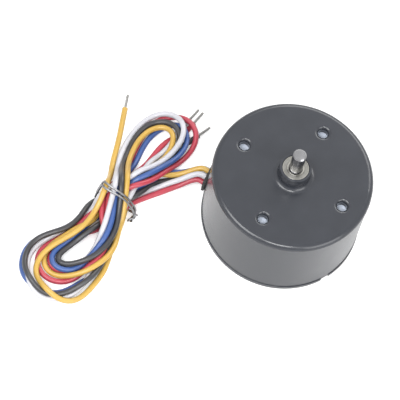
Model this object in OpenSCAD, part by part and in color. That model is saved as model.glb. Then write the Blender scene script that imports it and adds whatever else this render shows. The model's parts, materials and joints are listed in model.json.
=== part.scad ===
// Brushless dc motor in a drawn steel can, with five lead wires tied in a hank.
// The origin is the centre of the rear face, and +Z points along the shaft.
// The motor stands on its rear face, with its leads lying on the same surface.

/* [Can] */
// Outside diameter of the can's shoulder and of the rear cover
can_d = 48; // [46:0.5:60]
// Height from the rear face to the front face
body_h = 29; // [28:0.5:45]
// Thickness of the can's steel sheet
sheet_t = 1.2; // [0.8:0.1:1.4]
// Radius of the can's front edge
edge_r = 1.6; // [1.4:0.1:2.4]
// Height of the shoulder below the front face
shoulder_h = 2.6; // [2.5:0.1:4]
// How far the wall stands in from the shoulder
wall_inset = 0.2; // [0.1:0.05:0.4]

/* [Front boss] */
// Outside diameter of the bearing boss
boss_d = 9.4; // [9.2:0.1:11]
// Height of the boss above the front face
boss_h = 5; // [4:0.25:8]
// Radius of the fillet at the boss's root
boss_root_r = 1.5; // [0.8:0.1:2.5]
// How far the front bearing lies below the boss's rim
bearing_sink = 0.2; // [0.1:0.05:0.5]

/* [Mounting holes] */
// Diameter of the four threaded mounting holes
hole_d = 3; // [2.5:0.1:3.4]
// Diameter of the circle through the mounting holes
hole_pcd = 34; // [32:0.5:36]
// Turn of the hole pattern about the shaft, in degrees
hole_turn = 75; // [60:1:90]
// Radius of each hole's rounded mouth
hole_mouth_r = 1; // [0.6:0.1:1]
// Wall of the collar drawn inwards round each hole
collar_t = 0.8; // [0.5:0.1:1.2]
// Depth of each hole, from the front face to the collar's end
collar_h = 2.7; // [2.2:0.1:3.2]

/* [Shaft and bearings] */
// Diameter of the shaft
shaft_d = 4; // [3.6:0.1:4.2]
// Length of shaft in front of the front face
shaft_out = 13.5; // [10:0.5:30]
// Chamfer at the shaft's ends
shaft_chamfer = 0.4; // [0.2:0.05:0.8]
// Width of the ring groove at the foot of the shaft's free end
groove_w = 0.6; // [0.6:0.05:1]
// Depth of that groove
groove_t = 0.2; // [0.2:0.05:0.4]
// Outside diameter of both ball bearings
bearing_d = 8; // [7.8:0.1:8.2]
// Width of both ball bearings
bearing_w = 3; // [2.6:0.1:3.5]
// Diameter of the bearing balls
ball_d = 1; // [0.9:0.05:1.05]
// Number of balls in each bearing
ball_count = 8; // [6:1:9]

/* [Rear cover] */
// Thickness of the rear cover
cover_t = 1.5; // [1.2:0.1:2.5]
// Width of the rim notches in the rear cover
notch_w = 3; // [2:0.25:5]
// Depth of the rim notches in the rear cover
notch_deep = 0.5; // [0.3:0.05:0.8]
// Diameter of the rear screws' threads
screw_d = 1.6; // [1.4:0.1:2]

/* [Stator and rotor] */
// Width of each stator tooth
tooth_w = 4.2; // [3.5:0.1:4.6]
// Thickness of each coil's winding
coil_t = 1.5; // [1:0.1:1.6]
// Number of rotor magnets
magnet_count = 6; // [4:2:8]
// Diameter of the rotor over its magnets
rotor_d = 22.4; // [20:0.1:22.6]
// Radial thickness of the magnets
magnet_t = 2.35; // [1.8:0.05:3]

/* [Circuit board] */
// Thickness of the circuit board
board_t = 1; // [0.8:0.1:1.2]

/* [Hidden] */

$fn = 64;

// One overrun for every cut, and one gap for every fit that doesn't move
cut = 1;
fit = 0.03;

// Can
can_r = can_d / 2;
wall_r = can_r - wall_inset;
can_bore_r = wall_r - sheet_t;
face_inner_z = body_h - sheet_t;
shoulder_z = body_h - shoulder_h;
boss_r = boss_d / 2;
hole_r = hole_d / 2;
hole_count = 4;

// Bearings: the races meet the balls on grooves, and the shields close both faces
bearing_r = bearing_d / 2;
shaft_r = shaft_d / 2;
ball_r = ball_d / 2;
ball_gap = 0.05;
ball_path_r = (bearing_r + shaft_r) / 2;
land_gap_share = 0.8;
inner_land_r = ball_path_r - ball_r * land_gap_share;
outer_land_r = ball_path_r + ball_r * land_gap_share;
shield_t = 0.2;
shield_sink = 0.08;
shield_gap = 0.1;
shield_seat_r = (outer_land_r + bearing_r) / 2;
cage_gap = 0.12;
cage_h_share = 1.5;
cage_h = ball_d * cage_h_share;
race_edge_r = 0.12;
front_bearing_z = body_h + boss_h - bearing_sink - bearing_w;
bearing_step = 0.5;
boss_neck_r = bearing_r - bearing_step;

// Rear cover: a plate with a spigot in the can and a pocket for the rear bearing
spigot_t = 1;
spigot_h = 1.2;
cover_chamfer = 0.3;
pocket_t = 1.2;
washer_t = 0.2;
washer_h = 0.5;
washer_waves = 3;
washer_gap = 0.15;
washer_inner_gap = 0.45;
washer_steps = 36;
rear_bearing_z = cover_t + washer_h;
pocket_rise = 0.1;
pocket_h = washer_h + bearing_w + pocket_rise;
notch_turn = -39;

// Lead exit: five leads in two rows through one grommet
wire_d = 1.7;
wire_r = wire_d / 2;
exit_turn = 172.5;
lead_pitch = 2.1;
lead_row_gap = 0.2;
grommet_skin = 0.6;
grommet_w = 2 * lead_pitch + wire_d + 2 * grommet_skin;
low_lead_z = cover_t + grommet_skin + wire_r;
high_lead_z = low_lead_z + wire_d + lead_row_gap;
grommet_top_z = high_lead_z + wire_r + grommet_skin;
grommet_lip = 0.5;
grommet_lip_t = 0.8;
grommet_corner_r = 0.9;

// Stack of parts above the leads
board_gap = 0.2;
board_z = grommet_top_z + grommet_lip + board_gap;
board_top_z = board_z + board_t;
coil_gap = 1.9;
insulator_t = 0.8;
liner_t = 0.4;
coil_seat_gap = 0.1;
cover_ring_t = 0.8;
cover_ring_drop = 2.4;
cover_ring_z = face_inner_z - cover_ring_drop - cover_ring_t;
coil_cover_gap = 0.3;
coil_low_z = board_top_z + coil_gap;
coil_high_z = cover_ring_z - coil_cover_gap;
stack_low_z = coil_low_z + coil_t + insulator_t;
stack_high_z = coil_high_z - coil_t - insulator_t;
stack_mid_z = (stack_low_z + stack_high_z) / 2;

// Stator
yoke_t = 2.6;
stator_r = can_bore_r - fit;
yoke_in_r = stator_r - yoke_t;
air_gap = 0.5;
stator_bore_r = rotor_d / 2 + air_gap;
tip_t = 1.1;
tip_r = stator_bore_r + tip_t;
slot_mouth_w = 1.8;
tooth_count = 9;
tooth_step = 360 / tooth_count;
inner_wall_t = 0.8;
outer_wall_t = 1.1;
wall_gap = 0.3;
outer_wall_r = yoke_in_r + outer_wall_t + wall_gap;
coil_in_r = stator_bore_r + tip_t + wall_gap;
coil_hole_w = tooth_w + 2 * liner_t + 2 * fit;
coil_out_r = sqrt(pow(yoke_in_r, 2) - pow(coil_hole_w / 2 + coil_t, 2)) - coil_seat_gap;
coil_corner_r = 1.2;

// Pillars that hold the board and take the rear screws, each between two coils
pillar_count = 3;
pillar_r = 1.9;
pillar_neck_r = 1.5;
pillar_inset = 0.6;
pillar_path_r = yoke_in_r - pillar_inset;
pillar_turn = tooth_step / 2;
pillar_top_z = stack_low_z - insulator_t / 2;
screw_r = screw_d / 2;
screw_head_r = screw_d;
screw_bite = 1;
screw_length = board_top_z + screw_bite;

// Circuit board and what stands on it
board_edge_gap = 0.9;
board_r = can_bore_r - board_edge_gap;
board_hole_gap = 1.2;
board_hole_r = bearing_r + pocket_t + board_hole_gap;
pin_r = 0.4;
pin_slots = [-1, 1, 2];
pin_out = 0.4;
chip_w = 6;
chip_h = 0.9;
chip_path_r = 13.5;
chip_turn = 300;
hall_w = 2.8;
hall_d = 1.6;
hall_h = 1;
hall_path_r = 10.4;
hall_count = 3;
bulk_d = 5;
bulk_h = 3.2;
bulk_base_t = 0.5;
bulk_path_r = 12.5;
bulk_turn = 45;
small_part = [2, 1.2, 0.8];
capacitor_turns = [250, 265, 280, 325];
resistor_turns = [215, 230, 340, 355];
small_path_r = 16.5;

// Rotor
rotor_r = rotor_d / 2;
rotor_over = 1;
rotor_low_z = stack_low_z - rotor_over;
rotor_high_z = stack_high_z + rotor_over;
core_r = rotor_r - magnet_t;
core_hole_count = 6;
core_hole_share = 0.16;
magnet_gap = 0.6;
spacer_inset = 0.05;
spacer_r = inner_land_r - spacer_inset;
shaft_low_z = rear_bearing_z;
shaft_high_z = body_h + shaft_out;

// Solder joints at the inner ends of the leads
strand_r = 0.4;
strand_step = 0.8;
lead_reach = 3.4;
lead_inner_x = board_r - lead_reach;
lead_row_step = 2.2;
lead_outer_x = can_r + grommet_lip_t;
lead_places = [
    [lead_pitch, low_lead_z, lead_inner_x - lead_row_step],
    [0, low_lead_z, lead_inner_x - lead_row_step],
    [-lead_pitch, low_lead_z, lead_inner_x - lead_row_step],
    [lead_pitch / 2, high_lead_z, lead_inner_x],
    [-lead_pitch / 2, high_lead_z, lead_inner_x]
];
solder_r = 0.75;
solder_h = 0.5;

// Hank: the five wires are folded into two loops and tied at the waist. Each wire's loops
// are one flat layer on the layer before it, in the order red, black, white, blue, yellow.
layer_step = wire_d + 0.15;
hank_low_z = layer_step;
loop_steps = 24;
waist = [-48.5, -14];
column_step = 1.85;
blend_share = 0.12;
straight_end = 2.4;
lead_turn = 216;
lead_shares = [0.4, 0.65];
lead_fall = 2;
lead_exit_l = 1;
lower_loop = [[-56.3, -32.6], [-57.6, -38.9], [-48.6, -33.2]];
upper_loop = [[-47, 5.5], [-41, 13.6], [-36.6, 5]];
red_route = [
    lead_places[0], 0, [0.2, 0.6, 0.3, 19], [2, -1, -0.5, -0.5],
    [-1.6, -0.4, 0, 0, -0.2, -1.2, -1.4], [2.6, 3.2, 3.8, 4.9, 6, 2.6, 0.6],
    [2.8, 3.4, 4.6, 5.8, 4.6, 3, 0.6], [[-47.4, -9.8], [-45.5, -5.6], [-44.7, -3.6]]
];
black_route = [
    lead_places[1], 1, [2.1, 2.4, 1.9, 15], [1.5, 0.5, -1.5, 0.5],
    [0, 0, 0, 0, 0, 0, 0.2], [1.2, 2, 2.4, 2.2, 2.4, 2, 0.2],
    [4.6, 5.3, 7, 9.4, 7.2, 4.4, 1.6], [[-45.9, -10.2], [-43.8, -6], [-43.1, -4.1]]
];
white_route = [
    lead_places[3], 2, [1.1, 1.4, 0.8, 17], [1, -0.5, -2, 1.5],
    [0.6, 1.4, 1.6, 1.9, 1.6, 0.2, -0.4], [2.9, 3.7, 3.9, 5.1, 3.2, 0.4, -1.4],
    [5.6, 6.9, 8.6, 10.6, 7.4, 5, 2.6], [[-46, -10], [-46.6, -6]]
];
blue_route = [
    lead_places[2], 3, [3.9, 3.9, 3.5, 11], [0, 0, -1, 0.5],
    [2.2, 3.3, 3.5, 3.8, 3.4, 2.2, 1.2], [-0.2, -0.5, -0.3, 1.4, 4.4, 2.2, -0.4],
    [4, 5.1, 8.2, 11.8, 9.2, 5.6, 1.6], [[-46.4, -10], [-45, -6.4]]
];
yellow_route = [
    lead_places[4], 4, [2.8, 3, 3, 10], [0.5, 1.5, 2, -1.5],
    [0.9, 2, 2.5, 3.3, 2.8, 2.1, 1.8], [0, 0.9, 0.7, 0.5, 0.5, 0.6, 1.8],
    [1.7, 2.2, 3.2, 9, 10.6, 6.6, 4.6], [[-51.3, -10.8], [-51.5, -8.4]]
];
red_tail = [[-42.6, 1.8, 1.3], [-41.2, 6.4, 0.85], [-39, 13, 0.85], [-36.3, 18.6, 0.85]];
black_tail = [[-40.6, 1.2, 2.7], [-38.9, 6, 0.9], [-36.6, 11.4, 0.85], [-33.6, 17, 0.85]];
yellow_tail = [
    [-52.4, -1.4, 8.4], [-53.3, 3.6, 4.6], [-54.1, 9, 1.6], [-54.6, 13.2, 0.85], [-55.1, 17.2, 0.85]
];
bare_l = 5;
tie_d = 0.7;
tie_r = tie_d / 2;
tie_gap = 0.1;
tie_half_w = 6.5;
tie_corner_r = 1;
tie_turns = 2;
tie_drop = 1.4;
tie_pitch = 1.2;
tie_end_l = 2.5;
tube_sides = 8;

function unit(v) = v / norm(v);
function smooth(u) = let(v = min(max(u, 0), 1)) v * v * (3 - 2 * v);
function across(v) = [-v[1], v[0]];
function layer_z(layer) = hank_low_z + wire_r + layer * layer_step;

// Middle line of a loop that leaves the waist and comes back to it, and its direction
function loop_a(s) = (s[0] + s[2] - s[1] - waist) / (2 * sin(45) - 1);
function loop_b(s) = (s[0] - s[2]) / 2;
function loop_c(s) = s[1] - waist - loop_a(s);
function loop_mid(s, t) =
    waist + loop_a(s) * sin(180 * t) + loop_b(s) * sin(360 * t) + loop_c(s) * pow(sin(180 * t), 2);
function loop_way(s, t) =
    unit(loop_a(s) * cos(180 * t) + 2 * loop_b(s) * cos(360 * t) + loop_c(s) * sin(360 * t));

// How far out a wire lies at a share t of its loop, from places an eighth of the loop apart
function outward(c, t) =
    let(k = min(floor(8 * t), 7), f = 8 * t - k)
    let(m0 = k == 0 ? 0 : (c[k + 1] - c[k - 1]) / 2, m1 = k == 7 ? 0 : (c[k + 2] - c[k]) / 2)
    (1 + 2 * f) * pow(1 - f, 2) * c[k] + f * pow(1 - f, 2) * m0
        + f * f * (3 - 2 * f) * c[k + 1] + f * f * (f - 1) * m1;
function loop_point(s, c, side, t) =
    let(m = smooth(min(t, 1 - t) / blend_share))
    let(edge = [t > 0.5 ? 1 : -1, 0], out = across(loop_way(s, t)) * side)
    loop_mid(s, t) + unit(edge * (1 - m) + out * m) * outward(c, t);
function loop_points(s, c, side, back = false) =
    [for (i = [0 : loop_steps - 1])
        loop_point(s, c, side, (0.5 + (back ? loop_steps - 1 - i : i)) / loop_steps)];
function slot(column) = waist + [column * column_step, 0];

// A route holds the lead's place, its layer, the lead's sideways places and end, its columns at the
// waist, and how far out it lies in the inner, upper and outer loops
function exit_point(w, out) =
    let(x = lead_outer_x + out, y = w[0][0])
    [x * cos(exit_turn) - y * sin(exit_turn), x * sin(exit_turn) + y * cos(exit_turn)];
function lead_point(w, s, side) =
    [lead_outer_x * cos(exit_turn), lead_outer_x * sin(exit_turn)]
        + s * [cos(lead_turn), sin(lead_turn)] + side * [sin(lead_turn), -cos(lead_turn)];
function lead_z(w, s) =
    w[0][1] + (layer_z(w[1]) - w[0][1]) * smooth((s - lead_fall) / (w[2][3] - 2 * lead_fall));
function at(p, z) = [p[0], p[1], z];
function columns(first, places, last) =
    concat([first * column_step], places, [last * column_step]);
function hank_points(w, back) =
    let(q = w[3], join = lead_point(w, w[2][3], w[2][2]))
    concat(
        [join, join + straight_end * [cos(lead_turn), sin(lead_turn)], slot(q[0])],
        loop_points(lower_loop, columns(-q[0], w[4], q[1]), -1),
        [slot(q[1])],
        loop_points(upper_loop, columns(-q[1], w[5], q[2]), 1),
        [slot(q[2])],
        loop_points(lower_loop, back ? columns(-q[3], w[6], q[2]) : columns(-q[2], w[6], q[3]), -1, back),
        [slot(q[3])], w[7]
    );

// A smooth path through points, with two steps from each to the next
function along(p, i, f) =
    let(a = p[max(i - 1, 0)], b = p[i], c = p[i + 1], d = p[min(i + 2, len(p) - 1)])
    0.5 * (2 * b + (c - a) * f + (2 * a - 5 * b + 4 * c - d) * f * f + (3 * b - a - 3 * c + d) * pow(f, 3));
function path_through(p) =
    concat([for (i = [0 : len(p) - 2], f = [0, 0.5]) along(p, i, f)], [p[len(p) - 1]]);
function lead_path(w) =
    let(join = lead_point(w, w[2][3], w[2][2]), z = layer_z(w[1]))
    let(before = join - straight_end * [cos(lead_turn), sin(lead_turn)])
    let(bend_l = lead_exit_l + (lead_pitch - w[0][0]) * tan((lead_turn - exit_turn) / 2))
    concat(
        [at(exit_point(w, 0), w[0][1])],
        path_through([
            at(exit_point(w, bend_l), w[0][1]),
            at(lead_point(w, lead_shares[0] * w[2][3], w[2][0]), lead_z(w, lead_shares[0] * w[2][3])),
            at(lead_point(w, lead_shares[1] * w[2][3], w[2][1]), lead_z(w, lead_shares[1] * w[2][3])),
            at(before, z)
        ]),
        [at(join, z)]
    );
function tail_path(w, tail) =
    let(p = w[7], n = len(p), last = p[n - 1], way = unit(last - p[n - 2]))
    concat(
        [at(last, layer_z(w[1]))],
        path_through(concat([at(last + straight_end * way, layer_z(w[1]))], tail))
    );
function tie_point(i) =
    let(k = floor(i / 3), j = i % 3, turn = 90 * k + 45 * j)
    let(low = hank_low_z - tie_gap - tie_r, high = layer_z(4) + wire_r + tie_gap + tie_r)
    let(mid = (low + high) / 2, half_h = (high - low) / 2)
    let(x = (k % 4 == 0 || k % 4 == 3 ? 1 : -1) * (tie_half_w - tie_corner_r))
    let(z = (k % 4 < 2 ? 1 : -1) * (half_h - tie_corner_r))
    [
        waist[0] + x + tie_corner_r * cos(turn),
        waist[1] - tie_drop + tie_pitch * (i / 12 - tie_turns / 2),
        mid + z + tie_corner_r * sin(turn)
    ];

// A rectangle centred on the origin, with round corners
module rounded(w, h, r) {
    square([w - 2 * r, h], center = true);
    square([w, h - 2 * r], center = true);
    for (x = [-1, 1], y = [-1, 1])
        translate([x * (w / 2 - r), y * (h / 2 - r)]) circle(r);
}

module ring(outer, inner) {
    difference() {
        circle(outer);
        circle(inner);
    }
}

module tube(outer, inner, low, high) {
    translate([0, 0, low]) linear_extrude(high - low) ring(outer, inner);
}

module around(count, first = 0) {
    for (i = [0 : count - 1]) rotate(first + i * 360 / count) children();
}

// Half outline of the can's outside: wall, shoulder, rounded edge and boss with its fillet
module can_outside() {
    translate([0, cover_t]) square([wall_r, shoulder_z - cover_t]);
    polygon([
        [0, shoulder_z - wall_inset], [wall_r, shoulder_z - wall_inset],
        [can_r, shoulder_z], [can_r, body_h - edge_r], [0, body_h - edge_r]
    ]);
    translate([0, shoulder_z]) square([can_r - edge_r, shoulder_h]);
    translate([can_r - edge_r, body_h - edge_r]) circle(edge_r);
    translate([0, shoulder_z]) square([boss_r, shoulder_h + boss_h]);
    difference() {
        translate([0, shoulder_z]) square([boss_r + boss_root_r, shoulder_h + boss_root_r]);
        translate([boss_r + boss_root_r, body_h + boss_root_r]) circle(boss_root_r);
    }
}

// Half outline of the space in the can, with the step that the front bearing sits on
module can_inside() {
    inner_edge_r = edge_r - sheet_t + wall_inset;
    translate([0, cover_t - cut]) square([can_bore_r, face_inner_z - inner_edge_r - cover_t + cut]);
    translate([0, cover_t]) square([can_bore_r - inner_edge_r, face_inner_z - cover_t]);
    translate([can_bore_r - inner_edge_r, face_inner_z - inner_edge_r]) circle(inner_edge_r);
    translate([0, cover_t]) square([boss_neck_r, front_bearing_z - cover_t]);
    translate([0, front_bearing_z]) square([bearing_r + fit, bearing_w + bearing_sink + cut]);
}

// What a punch takes out of the face: a bore with a rounded mouth
module mounting_hole_cut() {
    rotate_extrude() {
        translate([0, body_h - collar_h - cut]) square([hole_r, collar_h + 2 * cut]);
        difference() {
            translate([0, body_h - hole_mouth_r]) square([hole_r + hole_mouth_r, hole_mouth_r + cut]);
            translate([hole_r + hole_mouth_r, body_h - hole_mouth_r]) circle(hole_mouth_r);
        }
    }
}

// The opening for the leads, along +X
module lead_opening(width, top) {
    translate([can_bore_r - spigot_t - cut, -width / 2, cover_t])
        cube([spigot_t + sheet_t + wall_inset + 2 * cut, width, top - cover_t]);
}

module can() {
    color("dimgray") difference() {
        union() {
            rotate_extrude() difference() {
                can_outside();
                can_inside();
            }
            around(hole_count, hole_turn) translate([hole_pcd / 2, 0, body_h - collar_h])
                cylinder(r = hole_r + collar_t, h = collar_h - sheet_t / 2);
        }
        around(hole_count, hole_turn) translate([hole_pcd / 2, 0, 0]) mounting_hole_cut();
        rotate(exit_turn) lead_opening(grommet_w + 2 * fit, grommet_top_z + fit);
    }
}

module rear_cover() {
    color("dimgray") difference() {
        union() {
            cylinder(r1 = can_r - cover_chamfer, r2 = can_r, h = cover_chamfer);
            translate([0, 0, cover_chamfer]) cylinder(r = can_r, h = cover_t - cover_chamfer);
            tube(can_bore_r - fit, can_bore_r - fit - spigot_t, cover_t, cover_t + spigot_h);
            tube(bearing_r + pocket_t, bearing_r + fit, cover_t, cover_t + pocket_h);
        }
        rotate(exit_turn) lead_opening(grommet_w + 2 * grommet_lip + 2 * fit, grommet_top_z);
        around(2, notch_turn) translate([can_r - notch_deep, -notch_w / 2, -cut])
            cube([notch_deep + cut, notch_w, cover_t + cut]);
        around(pillar_count, pillar_turn) translate([pillar_path_r, 0, 0]) {
            translate([0, 0, -cut]) cylinder(r = screw_r + fit, h = cover_t + 2 * cut);
            cylinder(r1 = screw_head_r + fit, r2 = screw_r + fit, h = screw_head_r - screw_r);
        }
    }
}

module rear_screws() {
    color("silver") around(pillar_count, pillar_turn) translate([pillar_path_r, 0, 0]) difference() {
        union() {
            cylinder(r1 = screw_head_r, r2 = screw_r, h = screw_head_r - screw_r);
            cylinder(r = screw_r, h = screw_length);
        }
        cross_w = screw_r / 2;
        for (turn = [0, 90]) rotate(turn) translate([-screw_r, -cross_w / 2, -cut])
            cube([2 * screw_r, cross_w, cut + cross_w]);
    }
}

// Grommet outline across the leads, with a flat foot on the rear cover
module grommet_outline(extra) {
    w = grommet_w + 2 * extra;
    h = grommet_top_z - cover_t + extra;
    translate([0, h / 2]) rounded(w, h, grommet_corner_r);
    translate([-w / 2, 0]) square([w, h / 2]);
}

module grommet_slab(from_x, to_x, extra) {
    translate([from_x, 0, cover_t]) rotate([90, 0, 90]) linear_extrude(to_x - from_x)
        grommet_outline(extra);
}

module wire_grommet() {
    color("black") rotate(exit_turn) difference() {
        union() {
            grommet_slab(can_bore_r - spigot_t, lead_outer_x, 0);
            grommet_slab(can_bore_r - spigot_t, can_bore_r - spigot_t / 2, grommet_lip);
            grommet_slab(can_r, lead_outer_x, grommet_lip);
        }
        for (p = lead_places) translate([can_bore_r - spigot_t - cut, p[0], p[1]])
            rotate([0, 90, 0]) cylinder(r = wire_r + fit, h = lead_outer_x - can_bore_r + spigot_t + 2 * cut);
    }
}

// Ball bearing parts, drawn with the bearing's rear face at z = 0
module ball_groove() {
    translate([ball_path_r, bearing_w / 2]) circle(ball_r + ball_gap);
}

module outer_race() {
    color("gainsboro") rotate_extrude() difference() {
        translate([outer_land_r, 0]) square([bearing_r - outer_land_r, bearing_w]);
        ball_groove();
        for (z = [-cut, bearing_w - shield_sink - shield_t])
            translate([0, z]) square([shield_seat_r + fit, cut + shield_sink + shield_t]);
        for (z = [0, bearing_w]) translate([bearing_r, z]) rotate(45)
            square(race_edge_r * sqrt(2), center = true);
    }
}

module inner_race() {
    color("gainsboro") rotate_extrude() difference() {
        translate([shaft_r + fit, 0]) square([inner_land_r - shaft_r - fit, bearing_w]);
        ball_groove();
        for (z = [0, bearing_w]) translate([shaft_r + fit, z]) rotate(45)
            square(race_edge_r * sqrt(2), center = true);
    }
}

module shields() {
    color("wheat") for (z = [shield_sink, bearing_w - shield_sink - shield_t])
        tube(shield_seat_r, inner_land_r + shield_gap, z, z + shield_t);
}

module balls() {
    color("silver") around(ball_count) translate([ball_path_r, 0, bearing_w / 2]) sphere(ball_r);
}

module cage() {
    color("goldenrod") difference() {
        tube(outer_land_r - cage_gap, inner_land_r + cage_gap,
             (bearing_w - cage_h) / 2, (bearing_w + cage_h) / 2);
        around(ball_count) translate([inner_land_r, 0, bearing_w / 2]) rotate([0, 90, 0])
            cylinder(r = ball_r + ball_gap, h = bearing_r - inner_land_r);
    }
}

module at_front_bearing() {
    translate([0, 0, front_bearing_z]) children();
}

module at_rear_bearing() {
    translate([0, 0, rear_bearing_z]) children();
}

// Wavy spring washer under the rear bearing's outer race
module wave_washer() {
    inner = shield_seat_r - washer_inner_gap;
    outer = bearing_r - washer_gap;
    rise = washer_h - washer_t - 2 * fit;
    function wave_z(a) = cover_t + fit + rise * (1 - cos(washer_waves * a)) / 2;
    points = [
        for (i = [0 : washer_steps - 1])
            let (a = i * 360 / washer_steps, z = wave_z(a))
            for (p = [[inner, z], [outer, z], [outer, z + washer_t], [inner, z + washer_t]])
                [p[0] * cos(a), p[0] * sin(a), p[1]]
    ];
    faces = [
        for (i = [0 : washer_steps - 1], k = [0 : 3])
            let (a = 4 * i, b = 4 * ((i + 1) % washer_steps), m = (k + 1) % 4)
            each [[a + k, a + m, b + k], [a + m, b + m, b + k]]
    ];
    color("silver") polyhedron(points, faces);
}

// Flat outline of the laminated stator: yoke, teeth and tooth tips
module stator_outline() {
    ring(stator_r, yoke_in_r);
    around(tooth_count) translate([tip_r - tip_t / 2, -tooth_w / 2])
        square([yoke_in_r + yoke_t / 2 - tip_r + tip_t / 2, tooth_w]);
    difference() {
        ring(tip_r, stator_bore_r);
        around(tooth_count, tooth_step / 2) translate([0, -slot_mouth_w / 2]) square([can_r, slot_mouth_w]);
    }
}

module stator_core() {
    color("slategray") translate([0, 0, stack_low_z]) linear_extrude(stack_high_z - stack_low_z)
        stator_outline();
}

// One nylon end insulator, drawn above z = 0 with its liners hanging below
module insulator(liner_depth, wall_h) {
    // plate over the yoke's inner part and the teeth, with liners down the teeth
    linear_extrude(insulator_t) {
        ring(outer_wall_r, yoke_in_r - fit);
        around(tooth_count) translate([tip_r - tip_t + fit, -tooth_w / 2])
            square([yoke_in_r - tip_r + tip_t, tooth_w]);
    }
    around(tooth_count) for (side = [-1, 1]) translate([coil_in_r, 0, -liner_depth])
        translate([0, side > 0 ? tooth_w / 2 + fit : -tooth_w / 2 - fit - liner_t, 0])
            cube([coil_out_r - coil_in_r, liner_t, liner_depth + insulator_t]);
    around(tooth_count) translate([coil_in_r, -coil_hole_w / 2 + fit, 0])
        cube([coil_out_r - coil_in_r, coil_hole_w - 2 * fit, insulator_t]);
    // wall outside the coils
    tube(outer_wall_r, outer_wall_r - outer_wall_t, 0, wall_h);
    // lips inside the coils, one on each tooth tip
    linear_extrude(wall_h) difference() {
        ring(stator_bore_r + inner_wall_t + fit, stator_bore_r + fit);
        around(tooth_count, tooth_step / 2) translate([0, -slot_mouth_w])
            square([can_r, 2 * slot_mouth_w]);
    }
}

module front_insulator() {
    color("white") translate([0, 0, stack_high_z])
        insulator(stack_high_z - stack_mid_z, cover_ring_z - stack_high_z);
}

module rear_insulator() {
    color("white") difference() {
        union() {
            translate([0, 0, stack_low_z]) mirror([0, 0, 1])
                insulator(stack_mid_z - stack_low_z, coil_t + insulator_t);
            around(pillar_count, pillar_turn) translate([pillar_path_r, 0, 0]) {
                translate([0, 0, board_top_z]) cylinder(r = pillar_r, h = pillar_top_z - board_top_z);
                translate([0, 0, cover_t]) cylinder(r = pillar_neck_r, h = pillar_top_z - cover_t);
            }
        }
        around(pillar_count, pillar_turn) translate([pillar_path_r, 0, cover_t - cut])
            cylinder(r = screw_r, h = screw_length - cover_t + cut);
        for (k = pin_slots) rotate((k + 0.5) * tooth_step)
            translate([outer_wall_r - outer_wall_t / 2, 0, coil_low_z - cut])
                cylinder(r = pin_r, h = coil_t + cut);
    }
}

// One coil round each tooth
module coils() {
    opening_h = coil_high_z - coil_low_z - 2 * coil_t + 2 * fit;
    color("peru") around(tooth_count) translate([coil_in_r, 0, (coil_low_z + coil_high_z) / 2])
        rotate([90, 0, 90]) linear_extrude(coil_out_r - coil_in_r) difference() {
            rounded(coil_hole_w + 2 * coil_t, coil_high_z - coil_low_z, coil_corner_r);
            square([coil_hole_w, opening_h], center = true);
        }
}

// White ring that keeps the mounting screws off the coils
module coil_cover() {
    color("white") tube(outer_wall_r, stator_bore_r + fit, cover_ring_z, cover_ring_z + cover_ring_t);
}

module circuit_board() {
    color("green") translate([0, 0, board_z]) linear_extrude(board_t) difference() {
        ring(board_r, board_hole_r);
        around(pillar_count, pillar_turn) translate([pillar_path_r, 0]) circle(pillar_neck_r + fit);
        for (k = pin_slots) rotate((k + 0.5) * tooth_step)
            translate([outer_wall_r - outer_wall_t / 2, 0]) circle(pin_r + fit);
    }
}

// Places a part on the board's front side, or with front = false under it
module on_board(radius, turn, front = true) {
    rotate(turn) translate([radius, 0, front ? board_top_z : board_z])
        mirror([0, 0, front ? 0 : 1]) children();
}

module flat_block(size) {
    translate([-size[0] / 2, -size[1] / 2, 0]) cube(size);
}

module driver_chip() {
    color("black") on_board(chip_path_r, chip_turn) flat_block([chip_w, chip_w, chip_h]);
}

module hall_sensors() {
    color("black") for (i = [0 : hall_count - 1])
        on_board(hall_path_r, (i - 0.5) * tooth_step) flat_block([hall_d, hall_w, hall_h]);
}

module bulk_capacitor() {
    color("silver") on_board(bulk_path_r, bulk_turn, false) {
        flat_block([bulk_d, bulk_d, bulk_base_t]);
        cylinder(d = bulk_d, h = bulk_h);
    }
}

module board_capacitors() {
    color("tan") for (turn = capacitor_turns) on_board(small_path_r, turn, false) flat_block(small_part);
}

module board_resistors() {
    color("black") for (turn = resistor_turns) on_board(small_path_r, turn, false) flat_block(small_part);
}

module phase_pins() {
    color("gold") for (k = pin_slots) rotate((k + 0.5) * tooth_step)
        translate([outer_wall_r - outer_wall_t / 2, 0, board_z - pin_out])
            cylinder(r = pin_r, h = coil_low_z + coil_t - board_z + pin_out);
}

// Ends of the five leads inside the can, from the grommet's face to the solder joints
module inner_leads() {
    color("gray") rotate(exit_turn) for (p = lead_places) translate([p[2], p[0], p[1]])
        rotate([0, 90, 0]) cylinder(r = wire_r, h = lead_outer_x - p[2]);
}

module solder_joints() {
    color("silver") rotate(exit_turn) for (p = lead_places) translate([p[2], p[0], 0]) {
        translate([-strand_step, 0, p[1]]) rotate([0, 90, 0]) cylinder(r = strand_r, h = strand_step);
        translate([-strand_step, 0, p[1]]) sphere(strand_r);
        translate([-strand_step, 0, p[1]]) cylinder(r = strand_r, h = board_z - p[1]);
        translate([-strand_step, 0, board_z - solder_h]) cylinder(r1 = strand_r, r2 = solder_r, h = solder_h);
    }
}

module shaft() {
    length = shaft_high_z - shaft_low_z;
    groove_z = body_h + boss_h - shaft_low_z;
    color("silver") translate([0, 0, shaft_low_z]) rotate_extrude() polygon([
        [0, 0], [shaft_r - shaft_chamfer, 0], [shaft_r, shaft_chamfer],
        [shaft_r, groove_z], [shaft_r - groove_t, groove_z],
        [shaft_r - groove_t, groove_z + groove_w], [shaft_r, groove_z + groove_w],
        [shaft_r, length - shaft_chamfer], [shaft_r - shaft_chamfer, length], [0, length]
    ]);
}

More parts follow.
